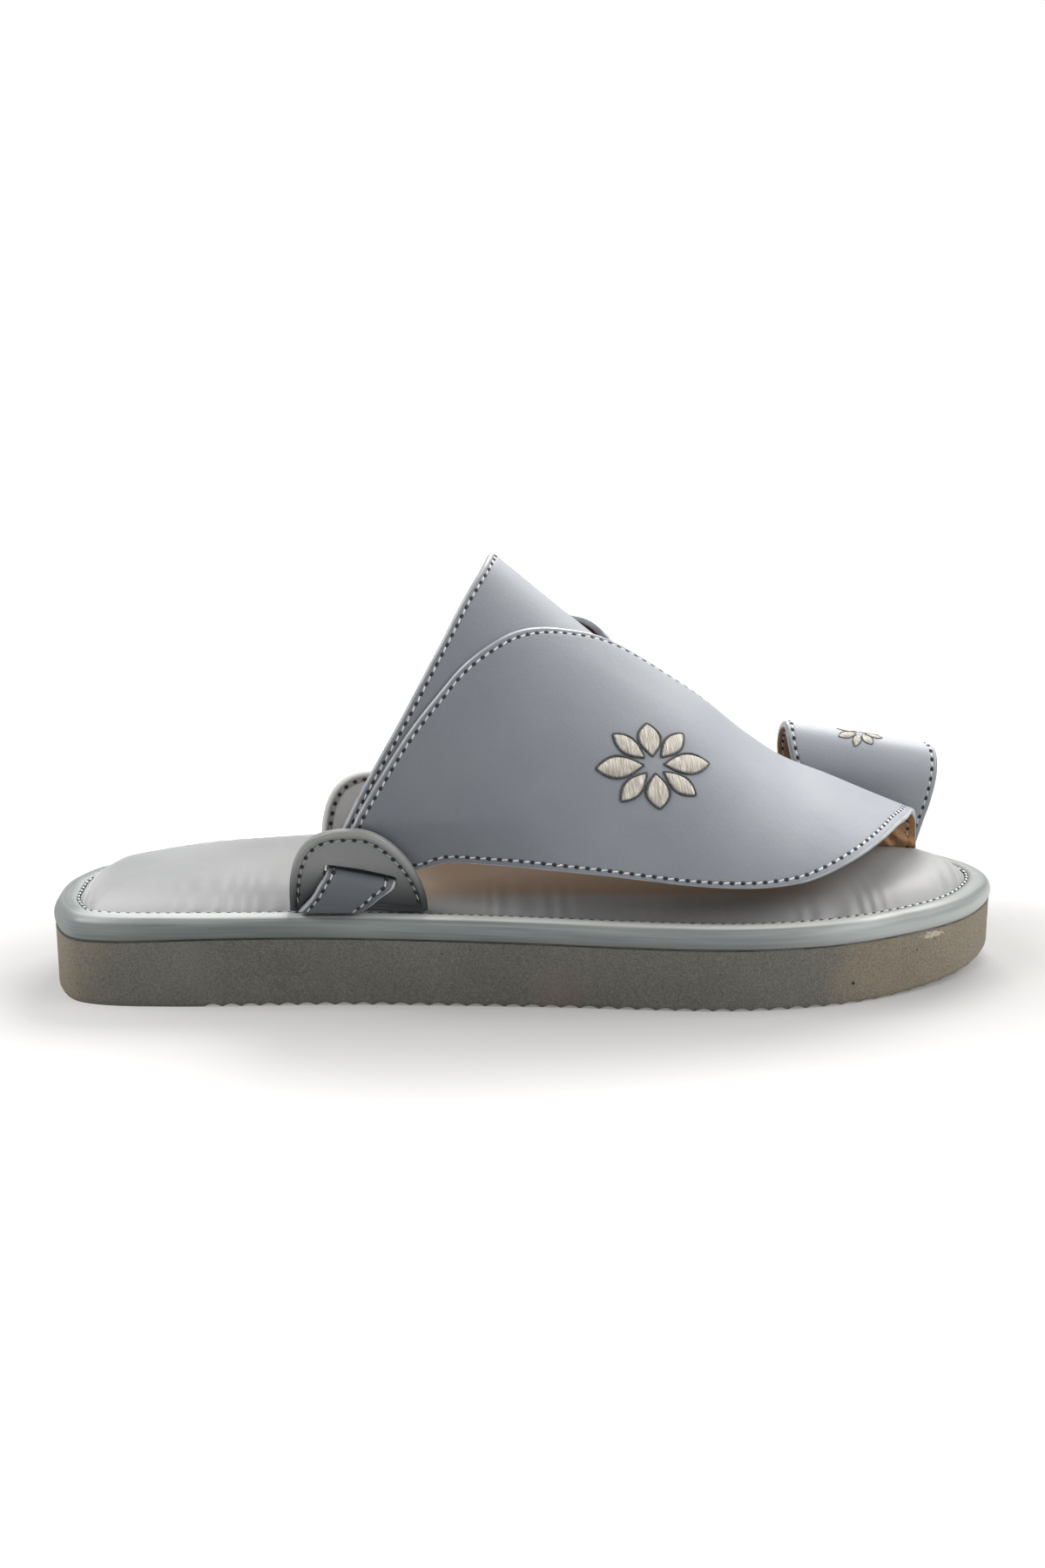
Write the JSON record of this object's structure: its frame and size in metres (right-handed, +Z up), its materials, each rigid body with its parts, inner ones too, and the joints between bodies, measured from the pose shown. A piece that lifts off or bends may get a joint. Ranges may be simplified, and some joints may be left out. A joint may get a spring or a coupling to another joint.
{
  "type": "arabic sandal",
  "caption": "Right Arabic sandal: slate leather flaps crossing over an instep band held by slotted ears, a big-toe loop, padded footbed, rolled rim and thick ribbed foam outsole.",
  "frame": {"origin": "on the floor, under the centre of the sandal's box", "axes": "+X towards the toe, +Y the medial (big toe) side, +Z up"},
  "size_m": [0.2853, 0.099, 0.1246],
  "materials": {
    "outsole": "fine-pored taupe foam rubber, matt",
    "footbed_rim": "pale blue-grey leather, rolled, satin",
    "insole": "light grey smooth leather over padding, satin",
    "upper": "slate blue-grey smooth leather, satin, tan lining",
    "toe_loop": "slate blue-grey smooth leather, satin, tan lining",
    "ear": "grey leather with a rounded edge, satin"
  },
  "bodies": {
    "root": {"outsole": "outsole", "footbed_rim": "footbed_rim", "insole": "insole", "upper": "upper", "toe_loop": "toe_loop", "lateral_ear": "ear", "medial_ear": "ear"}
  },
  "joints": []
}
